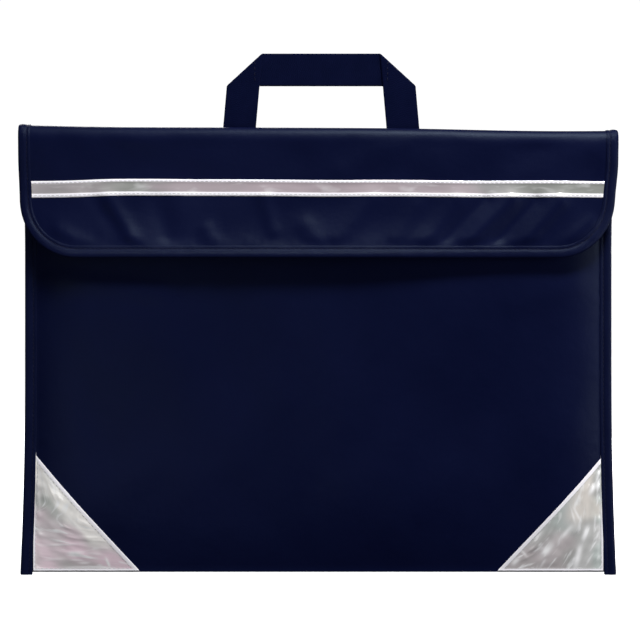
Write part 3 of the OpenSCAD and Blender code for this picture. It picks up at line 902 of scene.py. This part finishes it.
# ---------------------------------------------------------------- hook and loop pads
PAD_SEAM_IN, PAD_SEAM_LIFT = 1.9, 0.62


def along_corners(corners, steps):
    """A line of points through the corners, with the same number of steps along each side."""
    shares = np.linspace(0, 1, steps, endpoint=False)
    line = [a + (b - a) * t for a, b in zip(corners, corners[1:]) for t in shares]
    return np.array(line + [corners[-1]])


PADS = (("loop", "case", front, LOOP_MAT), ("hook", "flap", over, HOOK_MAT))
for name in ("left", "right"):
    for kind, body, surface, material in PADS:
        a, b = low(f"{kind}_pad_{name}"), high(f"{kind}_pad_{name}")
        xs = np.linspace(a[0], b[0], 76)
        zs = np.linspace(a[2], b[2], 31)
        if kind == "hook":
            zs = s_at(zs)
        q_grid, x_grid = np.meshgrid(zs, xs, indexing="ij")
        edge = np.minimum(np.minimum(x_grid - a[0], b[0] - x_grid),
                          np.minimum(q_grid - zs.min(), zs.max() - q_grid))
        rng = np.random.RandomState(5)
        pile = 0.55 + 0.55 * smooth(edge / 1.2) - 0.45 * np.exp(-((edge - PAD_SEAM_IN) / 0.45) ** 2)
        pile = pile + rng.uniform(-0.12, 0.12, pile.shape) * smooth(edge / 0.8)
        # loops stand out from the front cloth, and hooks point inward from the flap's inner face
        lift, seam_lift = (pile, PAD_SEAM_LIFT) if kind == "loop" else (-CLOTH - 0.03, -CLOTH - PAD_SEAM_LIFT)
        piece = sheet_mesh(f"{kind}_pile_{name}", surface, x_grid, q_grid, pile - 0.03, lift=lift)
        finish_piece(piece, body, "hook_and_loop", material, f"{kind}_pad_{name}")
        x0, x1 = a[0] + PAD_SEAM_IN, b[0] - PAD_SEAM_IN
        q0, q1 = zs.min() + PAD_SEAM_IN, zs.max() - PAD_SEAM_IN
        corners = np.array([(x0, q0), (x1, q0), (x1, q1), (x0, q1), (x0, q0)])
        seam = along_corners(corners, 20)
        sew(f"{kind}_stitches_{name}", body, surface, seam, f"{kind}_thread_{name}", height=seam_lift)

# ---------------------------------------------------------------- handle
WEB_LOW, WEB_HIGH = low("handle_webbing"), high("handle_webbing")
END_LOW = low("handle_end_right")
WEB_T = high("handle_end_right")[1] - END_LOW[1]
TOP_HANDLE = WEB_HIGH[2]
WEB_W = 25.0
LEAN = math.radians(5)
HANDLE_X = (WEB_LOW[0] + WEB_HIGH[0]) / 2
SWING_Z = WEB_LOW[2]
SHOULDER_Z = TOP_HANDLE - WEB_W
BAR_HALF = 72.25
SEWN_Z = END_LOW[2]

along = np.array([-math.sin(LEAN), math.cos(LEAN)])
side = np.array([math.cos(LEAN), math.sin(LEAN)])
level_w = WEB_W / math.cos(LEAN)
fold_a = np.array([BAR_HALF, SHOULDER_Z])
fold_b = np.array([BAR_HALF - WEB_W * math.tan(LEAN) - level_w, TOP_HANDLE])
fold_dir = (fold_b - fold_a) / np.linalg.norm(fold_b - fold_a)
fold_out = np.array([fold_dir[1], -fold_dir[0]])
BEND = 0.54 * WEB_T


# the bend at the shoulder begins this far before the fold line
FOLD_LEAD = 0.8 * BEND
leg_run = (SHOULDER_Z - SEWN_Z) / math.cos(LEAN)
bar_run = BAR_HALF + leg_run
ls = np.concatenate([np.linspace(0, leg_run - 2, 64, endpoint=False),
                     np.linspace(leg_run - 2, leg_run + 4, 34, endpoint=False),
                     np.linspace(leg_run + 4, bar_run, 56)])
ws = np.array([0, 0.12, 0.4, 0.9, 1.5, 2.2, 3.2, 5, 7.5, 10, 12.5, 15, 17.5, 20, 21.8, 22.8, 23.5, 24.1, 24.6,
               24.88, WEB_W])
# rows of the mesh lie along the shoulder's fold there, and square across at the strap's end and middle
skew = ((fold_b - fold_a) @ along / WEB_W
        * smooth((ls - 14) / (leg_run - 20)) * smooth((bar_run - 3 - ls) / (bar_run - leg_run - 9)))
# the strap is thinner at its two edges, with shallow ribs along it
thick = np.sqrt(np.clip(1 - np.clip(1 - np.minimum(ws, WEB_W - ws) / 1.6, 0, 1) ** 2, 0, 1))
thick = (0.25 + 0.75 * thick) * (1 + 0.05 * np.cos(ws * 2 * math.pi / 5.0))


def handle_half(sign, l_grid, w_grid):
    """Both faces of one half of the handle, folded over at the shoulder.

    In the flat strap, l_grid runs up the leg's outer edge from its sewn end, and w_grid inward from it.
    """
    flat = fold_a - along * leg_run + along * l_grid[..., None] - side * w_grid[..., None]
    turned = (flat - fold_a) @ fold_out + FOLD_LEAD
    # the leg climbs from the back panel to its clearance from it
    climb = smooth((flat[..., 1] - (SWING_Z - 6)) / 12)
    leg_y = END_LOW[1] + WEB_T / 2 + (WEB_LOW[1] - END_LOW[1] + 0.1) * climb
    angle = np.clip(turned / BEND, 0, math.pi)
    reach = np.minimum(turned, 0) + BEND * np.sin(angle) - np.maximum(turned - BEND * math.pi, 0)
    faces_xyz = []
    for face in (-1, 1):
        off = face * WEB_T / 2 * thick[None, :]
        y = leg_y + BEND * (1 - np.cos(angle)) + off * np.cos(angle)
        xz = flat + (reach - off * np.sin(angle) - turned)[..., None] * fold_out
        # both halves meet in the middle of the bar
        x = sign * xz[..., 0]
        x = x - smooth((l_grid - (bar_run - 40)) / 40) * x[-1]
        faces_xyz.append(np.stack([x + HANDLE_X, y, xz[..., 1]], -1))
    return faces_xyz


def handle_mesh():
    """Points, faces and uvs of the whole strap, from one sewn end to the other."""
    verts, uvs, faces = [], [], []
    l_grid, w_grid = np.meshgrid(ls, ws, indexing="ij")
    l_grid = l_grid + skew[:, None] * w_grid
    rows, cols = l_grid.shape
    back = rows * cols
    index = np.arange(back).reshape(rows, cols)
    one_half = []
    for i in range(rows - 1):
        for j in range(cols - 1):
            quad = [index[i, j], index[i, j + 1], index[i + 1, j + 1], index[i + 1, j]]
            one_half += [quad, [k + back for k in quad[::-1]]]
        for a, d in ((index[i, 0], index[i + 1, 0]), (index[i + 1, -1], index[i, -1])):
            one_half.append([a, d, d + back, a + back])
    for a, b in zip(index[0], index[0, 1:]):
        one_half.append([b, a, a + back, b + back])
    for sign in (-1, 1):
        start = len(verts)
        for xyz in handle_half(sign, l_grid, w_grid):
            verts += list(xyz.reshape(-1, 3))
            uvs += list(np.stack([sign * l_grid.ravel(), w_grid.ravel()], 1))
        faces += [[k + start for k in f[::sign]] for f in one_half]
    return verts, faces, uvs


verts, faces, uvs = handle_mesh()
handle = make("handle_strap", verts, faces, uvs, sharp=0)
# the two halves are joined where they meet
bm = bmesh.new()
bm.from_mesh(handle.data)
bmesh.ops.remove_doubles(bm, verts=[v for v in bm.verts if abs(v.co.x / MM - HANDLE_X) < 0.02], dist=0.00002)
bmesh.ops.recalc_face_normals(bm, faces=bm.faces)
bm.to_mesh(handle.data)
bm.free()
finish_piece(handle, None, "webbing", WEB_MAT, "handle_webbing", "handle_end_left", "handle_end_right")
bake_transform(handle)


def flat_surface(y, sign):
    """A plane of constant depth, for stitches on the webbing."""
    def surface(x, z):
        here = np.stack([x, y + 0 * x, z], -1)
        return here, np.tile(np.array([0.0, sign, 0.0]), x.shape + (1,))
    return surface


def on_leg(sign, w, z):
    """A place on a leg, w inward from its outer edge at height z."""
    outer = BAR_HALF + (SHOULDER_Z - z) * math.tan(LEAN)
    return HANDLE_X + sign * (outer - w * level_w / WEB_W), z


# the stitches that hold the handle are bolder than the rest
BOLD = {"width": 0.7, "rise": 0.4}
BOX_LOW, BOX_HIGH = SEWN_Z + 3, SWING_Z - 7
for name, sign in (("left", -1), ("right", 1)):
    # a box with a cross in it
    places = ((3, BOX_LOW), (22, BOX_LOW), (22, BOX_HIGH), (3, BOX_HIGH))
    a, b, c, d = (on_leg(sign, w, z) for w, z in places)
    line = along_corners(np.array([a, b, c, d, a, c, d, b]), 14)
    back = flat_surface(END_LOW[1] + WEB_T + 0.02, 1)
    sew(f"anchor_stitches_{name}", "case", back, line, f"handle_end_thread_{name}", **BOLD)
    line = np.array([(HANDLE_X + sign * (BAR_HALF - level_w + 3.5), z)
                     for z in np.linspace(SHOULDER_Z + 4, TOP_HANDLE - 5, 10)])
    for face, y, facing_y in (("front", WEB_LOW[1] - 0.02, -1), ("back", WEB_HIGH[1] + 0.02, 1)):
        nodes = [f"handle_fold_thread_{name}"] if face == "back" else []
        sew(f"shoulder_stitches_{name}_{face}", "handle", flat_surface(y, facing_y), line, *nodes, **BOLD)

# ---------------------------------------------------------------- floor, light and camera
scene = bpy.context.scene
scene.view_settings.view_transform = "Standard"
scene.view_settings.look = "None"
scene.view_settings.exposure = 0.0
scene.view_settings.gamma = 1.0

bpy.ops.mesh.primitive_circle_add(vertices=96, radius=14.0, fill_type="NGON", location=(0, 0, -0.0005))
floor = bpy.context.active_object
floor.name = "floor"
pale = Nodes("pale_floor", (0.8, 0.8, 0.8), 0.9, specular=0.0)
pale.set("Emission Color", (1, 1, 1, 1))
pale.set("Emission Strength", 0.9)
floor.data.materials.append(pale.material)
floor.visible_glossy = False
floor.visible_diffuse = False

world = bpy.data.worlds.new("studio")
scene.world = world
world.use_nodes = True
tree = world.node_tree
tree.nodes.clear()


def world_node(kind, **values):
    """A node of the world, with values for its inputs."""
    made = tree.nodes.new("ShaderNode" + kind)
    for socket, value in values.items():
        made.inputs[socket.replace("_", " ")].default_value = value
    return made


def choose(test, no, yes):
    """One of two backgrounds, by a test of the ray."""
    made = world_node("MixShader")
    tree.links.new(ray.outputs[test], made.inputs[0])
    tree.links.new(no.outputs[0], made.inputs[1])
    tree.links.new(yes.outputs[0], made.inputs[2])
    return made


# the camera sees plain white; the case sees a dim even fill, and its shine a bright ceiling over dark walls
ray = world_node("LightPath")
seen = world_node("Background", Color=(1, 1, 1, 1), Strength=1.05)
fill = world_node("Background", Color=(0.93, 0.96, 1.0, 1), Strength=0.18)
ceiling = world_node("Background")
way = world_node("TexCoord")
up = world_node("SeparateXYZ")
rise = world_node("MapRange", From_Min=0.55, From_Max=0.92, To_Min=0.006, To_Max=0.26)
rise.interpolation_type = "SMOOTHSTEP"
tree.links.new(way.outputs["Generated"], up.inputs[0])
tree.links.new(up.outputs[2], rise.inputs["Value"])
tree.links.new(rise.outputs["Result"], ceiling.inputs["Strength"])
world_shader = choose("Is Camera Ray", choose("Is Glossy Ray", fill, ceiling), seen)
tree.links.new(world_shader.outputs[0], world_node("OutputWorld").inputs[0])


def area_light(name, location, target, size, power):
    data = bpy.data.lights.new(name, "AREA")
    data.shape = "RECTANGLE"
    data.size, data.size_y = size
    data.energy = power
    light = bpy.data.objects.new(name, data)
    scene.collection.objects.link(light)
    light.location = location
    direction = Vector(target) - Vector(location)
    light.rotation_euler = direction.to_track_quat("-Z", "Y").to_euler()


area_light("key", (0.36, -0.84, 1.71), (0.0, 0.0, 0.20), (0.5, 0.35), 39)
area_light("side", (0.95, -0.38, 0.26), (0.05, 0.0, 0.18), (0.4, 0.4), 3.6)
area_light("back", (-0.6, 1.5, 1.4), (0.0, 0.0, 0.2), (1.2, 0.8), 30)
area_light("back_low", (0.7, 1.5, 0.35), (0.0, 0.0, 0.2), (1.0, 0.5), 20)
area_light("low", (-0.36, -0.65, 0.06), (-0.16, 0.0, 0.0), (0.5, 0.1), 0.5)

LENS, SENSOR = 100.0, 36.0
VIEW_MM = 483.7
distance = VIEW_MM * MM * LENS / SENSOR
camera_data = bpy.data.cameras.new("camera")
camera_data.lens = LENS
camera_data.sensor_width = SENSOR
camera = bpy.data.objects.new("camera", camera_data)
scene.collection.objects.link(camera)
camera.location = (0.0013, FLAP_Y * MM - distance, 0.1942)
camera.rotation_euler = (math.pi / 2, 0, 0)
scene.camera = camera
